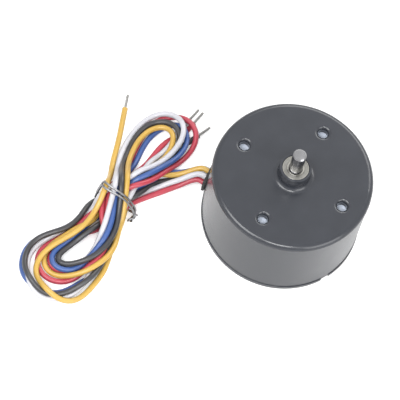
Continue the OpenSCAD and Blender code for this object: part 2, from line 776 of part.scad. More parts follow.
module rotor_core() {
    hole_r = core_r * core_hole_share;
    color("slategray") translate([0, 0, rotor_low_z]) linear_extrude(rotor_high_z - rotor_low_z)
        difference() {
            ring(core_r, shaft_r + fit);
            around(core_hole_count) translate([(core_r + shaft_r) / 2, 0]) circle(hole_r);
        }
}

module rotor_magnets() {
    color("dimgray") translate([0, 0, rotor_low_z]) linear_extrude(rotor_high_z - rotor_low_z)
        difference() {
            ring(rotor_r, core_r + fit);
            around(magnet_count) translate([0, -magnet_gap / 2]) square([can_r, magnet_gap]);
        }
}

module front_spacer() {
    color("gold") tube(spacer_r, shaft_r + fit, rotor_high_z, front_bearing_z);
}

module rear_spacer() {
    color("gold") tube(spacer_r, shaft_r + fit, rear_bearing_z + bearing_w, rotor_low_z);
}

// A round tube along a path, whose rings stand square to it
module round_tube(path, radius, up = [0, 0, 1]) {
    n = len(path);
    points = [for (i = [0 : n - 1])
        let(
            way = unit(path[min(i + 1, n - 1)] - path[max(i - 1, 0)]),
            side = unit(cross(way, up)),
            high = cross(side, way)
        )
        for (k = [0 : tube_sides - 1])
            let(turn = 360 * (k + 0.5) / tube_sides)
            path[i] + radius * (side * cos(turn) + high * sin(turn))];
    walls = [for (i = [0 : n - 2], k = [0 : tube_sides - 1])
        let(a = i * tube_sides + k, b = i * tube_sides + (k + 1) % tube_sides)
        for (f = [[a, b, b + tube_sides], [a, b + tube_sides, a + tube_sides]]) f];
    last = (n - 1) * tube_sides;
    ends = [for (k = [1 : tube_sides - 2])
        for (f = [[0, k + 1, k], [last, last + k, last + k + 1]]) f];
    polyhedron(points, concat(walls, ends));
}

// One wire's loops as a flat layer: a strip for each pass through the waist
module hank_layer(w, back = false) {
    p = hank_points(w, back);
    n = len(p);
    side = [for (i = [0 : n - 1]) wire_r * across(unit(p[min(i + 1, n - 1)] - p[max(i - 1, 0)]))];
    cuts = [0, 3 + loop_steps / 2, 4 + 3 * loop_steps / 2, 5 + 5 * loop_steps / 2, n - 1];
    translate([0, 0, layer_z(w[1]) - wire_r]) linear_extrude(wire_d) for (c = [0 : 3])
        polygon(concat(
            [for (i = [cuts[c] : cuts[c + 1]]) p[i] + side[i]],
            [for (i = [cuts[c + 1] : -1 : cuts[c]]) p[i] - side[i]]
        ));
}

module bare_end(path) {
    last = path[len(path) - 1];
    way = unit(last - path[len(path) - 2]);
    translate(last) rotate([0, acos(way[2]), atan2(way[1], way[0])]) cylinder(r = strand_r, h = bare_l);
}

// The end of a wire whose last stretch stays in its layer
function layer_end(w) =
    let(p = w[7], n = len(p))
    [at(p[n - 2], layer_z(w[1])), at(p[n - 1], layer_z(w[1]))];

module twist_tie() {
    turns = [for (i = [0 : 12 * tie_turns - 1]) tie_point(i)];
    last = turns[len(turns) - 1];
    path = concat([turns[0] - [0, 0, tie_end_l]], turns, [last + [0, tie_pitch / 4, tie_end_l]]);
    color("slategray") round_tube(path, tie_r, [0, 1, 0]);
}

can();
rear_cover();
rear_screws();
wire_grommet();
at_front_bearing() outer_race();  // front_bearing_outer_race
at_front_bearing() shields();  // front_bearing_shields
at_front_bearing() inner_race();  // front_bearing_inner_race
at_front_bearing() balls();  // front_bearing_balls
at_front_bearing() cage();  // front_bearing_cage
at_rear_bearing() outer_race();  // rear_bearing_outer_race
at_rear_bearing() shields();  // rear_bearing_shields
at_rear_bearing() inner_race();  // rear_bearing_inner_race
at_rear_bearing() balls();  // rear_bearing_balls
at_rear_bearing() cage();  // rear_bearing_cage
wave_washer();
stator_core();
front_insulator();
rear_insulator();
coils();
coil_cover();
circuit_board();
driver_chip();
hall_sensors();
bulk_capacitor();
board_capacitors();
board_resistors();
phase_pins();
inner_leads();
solder_joints();
shaft();
rotor_core();
rotor_magnets();
front_spacer();
rear_spacer();
color("red") round_tube(lead_path(red_route), wire_r);  // lead_red
color("black") round_tube(lead_path(black_route), wire_r);  // lead_black
color("white") round_tube(lead_path(white_route), wire_r);  // lead_white
color("blue") round_tube(lead_path(blue_route), wire_r);  // lead_blue
color("yellow") round_tube(lead_path(yellow_route), wire_r);  // lead_yellow
color("red") hank_layer(red_route);  // hank_red
color("black") hank_layer(black_route);  // hank_black
color("white") hank_layer(white_route);  // hank_white
color("blue") hank_layer(blue_route);  // hank_blue
color("yellow") hank_layer(yellow_route, true);  // hank_yellow
color("red") round_tube(tail_path(red_route, red_tail), wire_r);  // tail_red
color("black")  // tail_black
    round_tube(tail_path(black_route, black_tail), wire_r);
color("yellow")  // tail_yellow
    round_tube(tail_path(yellow_route, yellow_tail), wire_r);
color("silver") bare_end(tail_path(red_route, red_tail));  // bare_end_red
color("silver") bare_end(tail_path(black_route, black_tail));  // bare_end_black
color("silver")  // bare_end_yellow
    bare_end(tail_path(yellow_route, yellow_tail));
color("silver") bare_end(layer_end(white_route));  // bare_end_white
color("silver") bare_end(layer_end(blue_route));  // bare_end_blue
twist_tie();
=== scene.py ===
import json
import math
import bmesh
import bpy
import numpy as np
from mathutils import Matrix, Vector


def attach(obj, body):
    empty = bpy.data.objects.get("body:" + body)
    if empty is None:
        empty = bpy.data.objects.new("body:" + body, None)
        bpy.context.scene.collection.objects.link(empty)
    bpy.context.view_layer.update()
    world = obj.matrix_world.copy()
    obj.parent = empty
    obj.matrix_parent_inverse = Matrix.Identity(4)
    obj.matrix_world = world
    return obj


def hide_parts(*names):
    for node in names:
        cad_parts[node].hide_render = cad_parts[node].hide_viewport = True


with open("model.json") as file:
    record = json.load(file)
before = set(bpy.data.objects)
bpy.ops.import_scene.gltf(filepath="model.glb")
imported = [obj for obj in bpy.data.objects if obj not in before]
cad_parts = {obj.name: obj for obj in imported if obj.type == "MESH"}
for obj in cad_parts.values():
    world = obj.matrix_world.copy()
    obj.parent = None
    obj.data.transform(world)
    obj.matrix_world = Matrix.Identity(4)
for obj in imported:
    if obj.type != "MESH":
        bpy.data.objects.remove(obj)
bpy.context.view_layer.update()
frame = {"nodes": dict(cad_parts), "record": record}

# Wires and tie are worked out in millimetres, and turned to metres where their meshes are made
MM = 0.001

# The camera stands in front of the motor and above it, and is rolled a little
LENS = 263.94
SENSOR = 36
VIEW_FROM = (0.0, -0.3890017, 0.7962845)
VIEW_RIGHT = (0.94786519, 0.29720882, 0.11497174)
VIEW_UP = (-0.31748353, 0.84960527, 0.42115922)


def make_camera():
    data = bpy.data.cameras.new("camera")
    data.sensor_width = SENSOR
    data.sensor_fit = "HORIZONTAL"
    data.lens = LENS
    data.clip_start = 0.01
    data.clip_end = 20
    cam = bpy.data.objects.new("camera", data)
    bpy.context.scene.collection.objects.link(cam)
    right = Vector(VIEW_RIGHT)
    up = Vector(VIEW_UP)
    m = Matrix((right, up, right.cross(up))).transposed().to_4x4()
    m.translation = Vector(VIEW_FROM)
    cam.matrix_world = m
    bpy.context.scene.camera = cam


make_camera()

# The hank: wires lie in rows, one above the other, and in columns, side by side at the waist
WIRE_R = 0.85
ROW = 1.86
COLUMN = 1.85
WAIST = np.array([-48.5, -14.0])

# The two loops of the figure of eight, each by its left side, its tip and its right side
LOW = [np.array(p) for p in ((-56.3, -32.6), (-57.3, -38.3), (-48.6, -33.2))]
UP = [np.array(p) for p in ((-47.0, 5.4), (-41.6, 14.5), (-37.7, 6.4))]

# Where the wires leave the wall: distance and direction from the motor's axis
EXIT_R = 24.8
EXIT_TURN = math.radians(172.5)
EXIT_DIR = np.array([math.cos(EXIT_TURN), math.sin(EXIT_TURN)])
EXIT_SIDE = np.array([-EXIT_DIR[1], EXIT_DIR[0]])
EXIT_STRAIGHT = 2.2

# exit: place across the grommet, and height. lead: the free stretch up to the hank. slots: the
# columns at the waist, after the lead and after each loop. A wire goes round the lower loop
# inside, then round the upper loop, then round the lower loop outside. Each loop says how far
# out of the loop's own line the wire runs, at seven places from start to end, and the wire's
# rows at the start, left, tip, right and end. back: the outer loop is run from its end to its
# start. tail: the points after the hank
WIRES = {
    "red": dict(
        exit=(2.1, 2.95), lead=((-30.2, -0.9, 2.5), (-34.8, -2.8, 2), (-39.8, -4.8, 1.2)),
        slots=(1, -1, -0.5, -1.5),
        inner=((0.8, 2.2, 2.8, 2.4, 1.8, 1.2, -0.2), (0, 0, 0, 0.6, 3)),
        upper=((0.8, 1.2, 2, 5.2, 7.8, 3.8, 1.4), (2.4, 0, 0.6, 2.4, 2.4)),
        outer=((2.8, 3.8, 6, 6.4, 4, 2.6, -0.6), (1, 1, 1, 1, 2)), back=False,
        tail=((-48.6, -9.6, 4), (-45.4, -5.5, 2.6), (-42.6, 2.7, 0.85), (-39.3, 11.4, 0.85),
              (-36, 16.6, 0.85), (-33.9, 20.2, 0.85))),
    "black": dict(
        exit=(0, 2.95), lead=((-30.6, 1, 2.3), (-35.2, -1, 1.8), (-40.3, -3.6, 1)),
        slots=(1, 0.5, -2, -0.5),
        inner=((0, 0.4, 1.2, 1.5, 1.2, 1, 0.8), (1, 1, 1.4, 3, 4)),
        upper=((1.6, 2.2, 2.4, 2.4, 2.8, 1.6, 0.6), (4, 2, 2, 1.4, 1.4)),
        outer=((4.2, 5, 9, 11.4, 8, 3, 0), (2, 2, 2, 1, 2)), back=False,
        tail=((-47, -9.6, 4), (-43.2, -5, 2.6), (-40.8, 1.6, 0.85), (-38, 6.8, 0.85),
              (-34.4, 11.4, 0.85), (-32.2, 14, 0.85), (-31.3, 16.6, 0.85))),
    "white": dict(
        exit=(1.05, 4.85), lead=((-30.3, 0, 4), (-34.8, -1.9, 3.6), (-39.8, -4, 1.6)),
        slots=(0.5, -0.5, -1.5, 1.5),
        inner=((0.6, 1.4, 2.2, 2.3, 1, -0.6, -0.9), (0, 0, 0, 1.4, 4)),
        upper=((3.2, 4.2, 4.6, 5.3, 3.4, 1, -0.4), (4, 2.4, 3, 4, 3)),
        outer=((4.2, 5.2, 8.2, 11.8, 7.8, 2.4, 0.2), (1, 1, 1, 0, 2)), back=False,
        tail=((-45.4, -9.6, 4), (-42.2, -4.4, 2.6), (-41.2, 3.8, 0.85), (-38.2, 10.6, 0.85),
              (-36.8, 15.4, 0.85), (-36.3, 18, 1.2), (-35.5, 20.7, 1))),
    "blue": dict(
        exit=(-2.1, 2.95), lead=((-31, 3.1, 2.3), (-36, 1, 1.8), (-41, -2, 1)),
        slots=(0, 0, -1, 0.5),
        inner=((1.4, 2, 2.6, 2.8, 2.4, 0.6, -0.6), (0, 0, 0, 1.4, 3)),
        upper=((-0.2, -0.5, -0.3, 1.6, 5, 2.4, 0.4), (3, 1, 1, 1.6, 1.4)),
        outer=((3.6, 4.8, 8.8, 11.6, 7, 2.6, 0.2), (0, 0, 0, 0, 2)), back=False,
        tail=((-45.6, -10, 4), (-42.4, -6, 2.6), (-38.8, 0.8, 0.85), (-36.6, 6.4, 0.85),
              (-35, 10, 0.85))),
    "yellow": dict(
        exit=(-1.05, 4.85), lead=((-30.6, 2, 4.1), (-35.5, 0, 3.4), (-40.6, -2.4, 1.2)),
        slots=(-0.5, 1.5, 1, -1.5),
        inner=((1.6, 2.8, 3.8, 4.4, 4, 3, 2.2), (0, 1, 1, 3, 4)),
        upper=((0.2, 1.2, 1.2, 1.1, 0.8, -0.2, -0.8), (4, 2, 2.4, 0.6, 0)),
        outer=((1.7, 2.4, 3.4, 11.2, 11.2, 3, 0.4), (4, 3, 2.4, 0, 0)), back=True,
        tail=((-51.8, -9, 8.4), (-52.4, -3.4, 6.2), (-53.1, 3, 3.6), (-53.9, 9, 1.6),
              (-54.5, 13, 0.9), (-55.1, 17.6, 0.85))),
}

# Points of one loop, and the share of it at each end in which it keeps to the waist's columns
LOOP_POINTS = 24
WAIST_SHARE = 0.12

# Steps along a wire: while it settles, for the curve drawn through it then, and between the
# rings of its tube
SETTLE_STEP = 1.0
CURVE_STEP = 2.0
RING_STEP = 0.9

# Settling. In the rounds after QUIET_FROM the wires neither sink nor return to their plan
ROUNDS = 260
QUIET_FROM = 220
HELD_POINTS = 3
SINK = 0.03
RETURN = 0.06
PAIR_ROUNDS = 8
PAIR_REACH_SQ = 14.0
NEIGHBOURS = 6
TOUCH = 2 * WIRE_R + 0.04
PUSHES = 3
BEND_PASSES = 6
STIFFNESS = 0.07
TENSION = 0.06

# Bare end: seven strands, six of them in a ring round the seventh
BARE_L = 5.0
BARE_UNDER = 0.3
STRANDS = 7
STRAND_R = 0.15
STRAND_RING_R = 0.24
STRAND_LAY = 9
STRAND_POINTS = 24


def smooth(u):
    """Eases from 0 to 1."""
    u = min(max(u, 0.0), 1.0)
    return u * u * (3 - 2 * u)


def loop_place(shape, side, column, t):
    """A point in plan on a loop that leaves the waist and comes back, column mm out of its line."""
    left, tip, right = (p - WAIST for p in shape)
    a = (left + right - tip) / (math.sqrt(2) - 1)
    b = (left - right) / 2
    c = tip - a
    p = WAIST + a * math.sin(math.pi * t) + b * math.sin(2 * math.pi * t) + c * math.sin(math.pi * t) ** 2
    v = a * math.cos(math.pi * t) + 2 * b * math.cos(2 * math.pi * t) + c * math.sin(2 * math.pi * t)
    out = np.array([-v[1], v[0]]) / np.linalg.norm(v) * side
    m = smooth(min(t, 1 - t) / WAIST_SHARE)
    edge = np.array([1.0 if t > 0.5 else -1.0, 0.0])
    n = edge * (1 - m) + out * m
    return p + n / np.linalg.norm(n) * column


def eased_value(values, t):
    """The value at t, level at each of the given values and eased between them."""
    k = min(int(t * (len(values) - 1)), len(values) - 2)
    f = t * (len(values) - 1) - k
    return values[k] + (values[k + 1] - values[k]) * smooth(f)


def curve_value(values, t):
    """The value at t on a smooth curve through the given values."""
    n = len(values) - 1
    k = min(int(t * n), n - 1)
    f = t * n - k
    m0 = 0 if k == 0 else (values[k + 1] - values[k - 1]) / 2
    m1 = 0 if k == n - 1 else (values[k + 2] - values[k]) / 2
    return ((1 + 2 * f) * (1 - f) ** 2 * values[k] + f * (1 - f) ** 2 * m0
            + f * f * (3 - 2 * f) * values[k + 1] + f * f * (f - 1) * m1)


def loop(shape, side, first, outs, last, rows):
    """The points of one loop, from its first column at the waist to its last."""
    columns = [first * COLUMN, *outs, last * COLUMN]
    points = []
    for i in range(LOOP_POINTS):
        t = (i + 0.5) / LOOP_POINTS
        xy = loop_place(shape, side, curve_value(columns, t), t)
        points.append((*xy, WIRE_R + ROW * eased_value(rows, t)))
    return points


def slot(column, row):
    """A place at the waist."""
    return (WAIST[0] + column * COLUMN, WAIST[1], WIRE_R + ROW * row)


def route(w):
    """The planned points of one wire, from the wall to the end of its insulation."""
    place, z = w["exit"]
    q = w["slots"]
    inner_out, inner_rows = w["inner"]
    upper_out, upper_rows = w["upper"]
    outer_out, outer_rows = w["outer"]
    start = EXIT_DIR * EXIT_R + EXIT_SIDE * place
    points = [(*start, z), (*(start + EXIT_DIR * EXIT_STRAIGHT), z), *w["lead"]]
    points.append(slot(q[0], inner_rows[0]))
    points += loop(LOW, -1, -q[0], inner_out, q[1], inner_rows)
    points.append(slot(q[1], upper_rows[0]))
    points += loop(UP, 1, -q[1], upper_out, q[2], upper_rows)
    points.append(slot(q[2], upper_rows[-1]))
    if w["back"]:
        points += loop(LOW, -1, -q[3], outer_out, q[2], outer_rows)[::-1]
        points.append(slot(q[3], outer_rows[0]))
    else:
        points += loop(LOW, -1, -q[2], outer_out, q[3], outer_rows)
        points.append(slot(q[3], outer_rows[-1]))
    return np.array(points + [tuple(p) for p in w["tail"]])


def even(points, step):
    """A smooth line through the points, cut into even steps."""
    p = np.vstack([2 * points[0] - points[1], points, 2 * points[-1] - points[-2]])
    line = []
    for i in range(1, len(p) - 2):
        for f in np.arange(0, 1, 0.125):
            line.append(0.5 * (2 * p[i] + (p[i + 1] - p[i - 1]) * f
                               + (2 * p[i - 1] - 5 * p[i] + 4 * p[i + 1] - p[i + 2]) * f * f
                               + (3 * p[i] - p[i - 1] - 3 * p[i + 1] + p[i + 2]) * f ** 3))
    line.append(p[-2])
    line = np.array(line)
    s = np.concatenate([[0], np.cumsum(np.linalg.norm(np.diff(line, axis=0), axis=1))])
    n = int(round(s[-1] / step))
    at = np.linspace(0, s[-1], n + 1)
    return np.column_stack([np.interp(at, s, line[:, k]) for k in range(3)])


def close_pairs(p, wire, place):
    """Pairs of points that may touch: on two wires, or on one wire but not next to each other."""
    d2 = ((p[:, None, :] - p[None, :, :]) ** 2).sum(-1)
    apart = (wire[:, None] != wire[None]) | (np.abs(place[:, None] - place[None]) > NEIGHBOURS)
    return np.nonzero(np.triu(d2 < PAIR_REACH_SQ, 1) & apart)


def push_apart(p, pairs, way, held):
    """Moves touching points apart: sideways where wires run side by side, and up or down where
    they cross."""
    i, j = pairs
    d = p[j] - p[i]
    length = np.sqrt((d ** 2).sum(1)) + 1e-9
    hit = length < TOUCH
    i, j, d, length = i[hit], j[hit], d[hit], length[hit]
    beside = (way[i] * way[j]).sum(1) ** 4
    push = d / length[:, None] * ((TOUCH - length) / 2 * beside)[:, None]
    lift = np.sqrt(np.maximum(TOUCH ** 2 - d[:, 0] ** 2 - d[:, 1] ** 2, 0)) - np.abs(d[:, 2])
    push[:, 2] += (1 - beside) * lift / 2 * np.where(d[:, 2] < 0, -1, 1)
    delta = np.zeros_like(p)
    count = np.zeros(len(p))
    np.add.at(delta, i, -push)
    np.add.at(delta, j, push)
    np.add.at(count, i, 1)
    np.add.at(count, j, 1)
    delta /= np.maximum(count, 1)[:, None] ** 0.5
    delta[held] = 0
    p += delta
    p[:, 2] = np.maximum(p[:, 2], WIRE_R)


def straighten(p, inner, move):
    """Takes out the sharp bends and keeps the broad loops."""
    for _ in range(BEND_PASSES):
        bend = np.zeros_like(p)
        bend[1:-1] = p[:-2] - 2 * p[1:-1] + p[2:]
        bend[~inner] = 0
        change = np.zeros_like(p)
        change[1:-1] = bend[:-2] - 2 * bend[1:-1] + bend[2:]
        p[move] -= STIFFNESS * change[move]
    p[move] += TENSION * bend[move]


def settle(routes):
    """Lets the wires lie down on the floor and on each other."""
    wire = np.concatenate([np.full(len(r), i) for i, r in enumerate(routes)])
    place = np.concatenate([np.arange(len(r)) for r in routes])
    p = np.concatenate(routes).astype(float)
    plan = p[:, :2].copy()
    ends = np.cumsum([0] + [len(r) for r in routes])
    held = np.zeros(len(p), bool)
    inner = np.ones(len(p), bool)
    for a, b in zip(ends[:-1], ends[1:]):
        held[a:a + HELD_POINTS] = True
        inner[a] = inner[b - 1] = False
    move = inner & ~held
    for k in range(ROUNDS):
        if k % PAIR_ROUNDS == 0:
            pairs = close_pairs(p, wire, place)
            way = np.zeros((len(p), 2))
            way[1:-1] = p[2:, :2] - p[:-2, :2]
            way /= np.linalg.norm(way, axis=1)[:, None] + 1e-9
        quiet = k > QUIET_FROM
        if not quiet:
            p[~held, 2] -= SINK
        for _ in range(PUSHES):
            push_apart(p, pairs, way, held)
        straighten(p, inner, move)
        if not quiet:
            p[~held, :2] += RETURN * (plan[~held] - p[~held, :2])
        p[:, 2] = np.maximum(p[:, 2], WIRE_R)
    return [p[a:b] for a, b in zip(ends[:-1], ends[1:])]


def new_curve(name, radius, resolution):
    """A curve with a round section and closed ends, still without a line."""
    data = bpy.data.curves.new(name, "CURVE")
    data.dimensions = "3D"
    data.bevel_depth = radius * MM
    data.bevel_resolution = resolution
    data.use_fill_caps = True
    return data


def add_line(data, points):
    """Adds a line through points in mm to a curve."""
    spline = data.splines.new("POLY")
    spline.points.add(len(points) - 1)
    for q, p in zip(spline.points, points):
        q.co = (p[0] * MM, p[1] * MM, p[2] * MM, 1)


def as_mesh(name, data):
    """The curve's round tubes as a mesh object."""
    temp = bpy.data.objects.new(name + "_line", data)
    bpy.context.scene.collection.objects.link(temp)
    graph = bpy.context.evaluated_depsgraph_get()
    mesh = bpy.data.meshes.new_from_object(temp.evaluated_get(graph))
    bpy.data.objects.remove(temp)
    mesh.name = name
    for face in mesh.polygons:
        face.use_smooth = True
    obj = bpy.data.objects.new(name, mesh)
    bpy.context.scene.collection.objects.link(obj)
    return obj


def tube(name, points, radius, resolution):
    """One round tube through the points."""
    data = new_curve(name, radius, resolution)
    add_line(data, points)
    return as_mesh(name, data)


def strands(name, start, way, length):
    """The bare end of a wire: tinned strands twisted together."""
    way = way / np.linalg.norm(way)
    side = np.cross(way, (0, 0, 1.0))
    side /= np.linalg.norm(side)
    high = np.cross(side, way)
    data = new_curve(name, STRAND_R, 3)
    ring = STRANDS - 1
    for k in range(STRANDS):
        points = []
        for i in range(STRAND_POINTS):
            s = i / (STRAND_POINTS - 1) * length
            turn = 2 * math.pi * (k / ring + s / STRAND_LAY)
            r = 0.0 if k == ring else STRAND_RING_R
            around = side * math.cos(turn) + high * math.sin(turn)
            points.append(start + way * (s - BARE_UNDER) + r * around)
        add_line(data, points)
    return as_mesh(name, data)


names = list(WIRES)
lines = settle([even(route(WIRES[n]), SETTLE_STEP) for n in names])
wire_objects = {}
bare_objects = {}
for name, line in zip(names, lines):
    line = even(even(line, CURVE_STEP), RING_STEP)
    wire = tube("wire_" + name, line, WIRE_R, 5)
    way = line[-1] - line[-4]
    way[2] = 0
    bare = strands("bare_strands_" + name, line[-1], way, BARE_L)
    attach(wire, "housing")
    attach(bare, "housing")
    gone = ["lead_" + name, "hank_" + name] + (["tail_" + name] if "tail_" + name in frame["nodes"] else [])
    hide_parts(*gone)
    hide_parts("bare_end_" + name)
    wire_objects[name] = wire
    bare_objects[name] = bare

# Tie: a thin steel wire wound twice round the waist of the hank. On their way round, its turns
# shift, climb, slant and sway along Y, by so many mm. It looks so far to both sides, in radians,
# for the wires that it is pulled over. The slice is the part of the hank that it goes round
TIE_R = 0.34
TIE_TURNS = 2
TIE_STEPS = 32
TIE_GAP = 0.05
TIE_SHIFT = 0.1
TIE_PITCH = 1.3
TIE_SLANT = 0.9
TIE_SWAY = 0.5
TIE_SWAYS = 3.1
TIE_LOOK = 0.12
TIE_SMOOTHINGS = 3
SLICE_Y = WAIST[1] + 0.6
SLICE_HALF = 1.6
SLICE_REACH = 7

# The tie's two ends lie down beside the hank, twisted together, and part at their tips
END_POINTS = 22
END_FROM = np.array((0.8, -0.3, 0))
END_WAY = np.array((-1.2, -2.6, 0))
END_FALL = 1.1
END_TWISTS = 1.1
END_RING = 1.06
END_PARTING = 1.6
END_PART_FROM = 0.72


def waist_slice(lines):
    """The wires' middles at the tie, as x and z from the middle of them all, and that middle."""
    centres = np.concatenate(lines)
    near = centres[np.abs(centres[:, 1] - SLICE_Y) < SLICE_HALF]
    near = near[np.abs(near[:, 0] - WAIST[0]) < SLICE_REACH]
    middle = np.array([(near[:, 0].min() + near[:, 0].max()) / 2, (near[:, 2].min() + near[:, 2].max()) / 2])
    return near[:, [0, 2]] - middle, middle


def tie_turns(lines):
    """The tie's turns, pulled tight round the wires."""
    near, middle = waist_slice(lines)
    out = []
    for i in range(TIE_TURNS * TIE_STEPS + 1):
        a = 2 * math.pi * (i / TIE_STEPS) - math.pi / 4
        u = i / TIE_STEPS / TIE_TURNS
        y = (WAIST[1] + TIE_SHIFT + TIE_PITCH * (2 * u - 1) - TIE_SLANT * math.cos(a)
             + TIE_SWAY * math.sin(TIE_SWAYS * a))
        d = [float((near @ (math.cos(a + k), math.sin(a + k))).max()) for k in (-TIE_LOOK, 0, TIE_LOOK)]
        reach = d[1] + WIRE_R + TIE_R + TIE_GAP
        slope = (d[2] - d[0]) / (2 * TIE_LOOK)
        x = middle[0] + reach * math.cos(a) - slope * math.sin(a)
        z = middle[1] + reach * math.sin(a) + slope * math.cos(a)
        out.append((x, y, max(z, TIE_R)))
    out = np.array(out)
    for _ in range(TIE_SMOOTHINGS):
        out[1:-1] = 0.5 * out[1:-1] + 0.25 * (out[:-2] + out[2:])
        out[:, 2] = np.maximum(out[:, 2], TIE_R)
    return out


def twisted_end(start, knot, turn):
    """One of the tie's two ends, from the end of its turns."""
    points = [start]
    for i in range(END_POINTS):
        f = i / (END_POINTS - 1)
        middle = knot + (END_FROM + END_WAY * f)
        middle[2] = TIE_R * 2 + (knot[2] - TIE_R * 2) * (1 - smooth(f * END_FALL))
        a = turn + 2 * math.pi * END_TWISTS * f
        r = TIE_R * (END_RING + (END_PARTING * max(f - END_PART_FROM, 0)))
        points.append(middle + r * np.array((math.cos(a), 0.0, math.sin(a))))
    points = np.array(points)
    points[:, 2] = np.maximum(points[:, 2], TIE_R)
    return points


turns = tie_turns(lines)
knot = (turns[0] + turns[-1]) / 2
first_end = twisted_end(turns[0], knot, 0.0)
last_end = twisted_end(turns[-1], knot, math.pi)
tie = tube("tie_wire_turns", np.vstack([first_end[::-1], turns[1:-1], last_end]), TIE_R, 4)
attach(tie, "housing")
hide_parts("twist_tie")


# Materials
def material(name, color, rough, metal=0.0, spots=0.0, scale=900.0, bump=0.0, bump_scale=2500.0,
             rough_range=0.08, coat=0.0, grain=None, spec=0.5):
    """A surface whose colour, roughness and bump follow noise in object space.

    spots is the share of the colour that the noise takes away, and scale its fineness. grain
    stretches the noise: a larger number makes it finer along that axis."""
    mat = bpy.data.materials.new(name)
    mat.use_nodes = True
    nodes, links = mat.node_tree.nodes, mat.node_tree.links
    nodes.clear()
    out = nodes.new("ShaderNodeOutputMaterial")
    shader = nodes.new("ShaderNodeBsdfPrincipled")
    links.new(shader.outputs["BSDF"], out.inputs["Surface"])
    source = nodes.new("ShaderNodeTexCoord").outputs["Object"]
    if grain:
        mapping = nodes.new("ShaderNodeMapping")
        mapping.inputs["Scale"].default_value = grain
        links.new(source, mapping.inputs["Vector"])
        source = mapping.outputs["Vector"]
    noise = nodes.new("ShaderNodeTexNoise")
    noise.inputs["Scale"].default_value = scale
    noise.inputs["Detail"].default_value = 4
    links.new(source, noise.inputs["Vector"])
    ramp = nodes.new("ShaderNodeValToRGB")
    low, high = ramp.color_ramp.elements
    low.position = 0.3
    low.color = (*(c * (1 - spots) for c in color), 1)
    high.position = 0.7
    high.color = (*color, 1)
    links.new(noise.outputs["Fac"], ramp.inputs["Fac"])
    links.new(ramp.outputs["Color"], shader.inputs["Base Color"])
    span = nodes.new("ShaderNodeMapRange")
    span.inputs["To Min"].default_value = max(rough - rough_range, 0.02)
    span.inputs["To Max"].default_value = rough + rough_range
    links.new(noise.outputs["Fac"], span.inputs["Value"])
    links.new(span.outputs["Result"], shader.inputs["Roughness"])
    shader.inputs["Metallic"].default_value = metal
    shader.inputs["Coat Weight"].default_value = coat
    shader.inputs["Coat Roughness"].default_value = 0.12
    shader.inputs["Specular IOR Level"].default_value = spec
    if bump:
        fine = nodes.new("ShaderNodeTexNoise")
        fine.inputs["Scale"].default_value = bump_scale
        fine.inputs["Detail"].default_value = 3
        links.new(source, fine.inputs["Vector"])
        relief = nodes.new("ShaderNodeBump")
        relief.inputs["Strength"].default_value = bump
        relief.inputs["Distance"].default_value = 0.00005
        links.new(fine.outputs["Fac"], relief.inputs["Height"])
        links.new(relief.outputs["Normal"], shader.inputs["Normal"])
    return mat


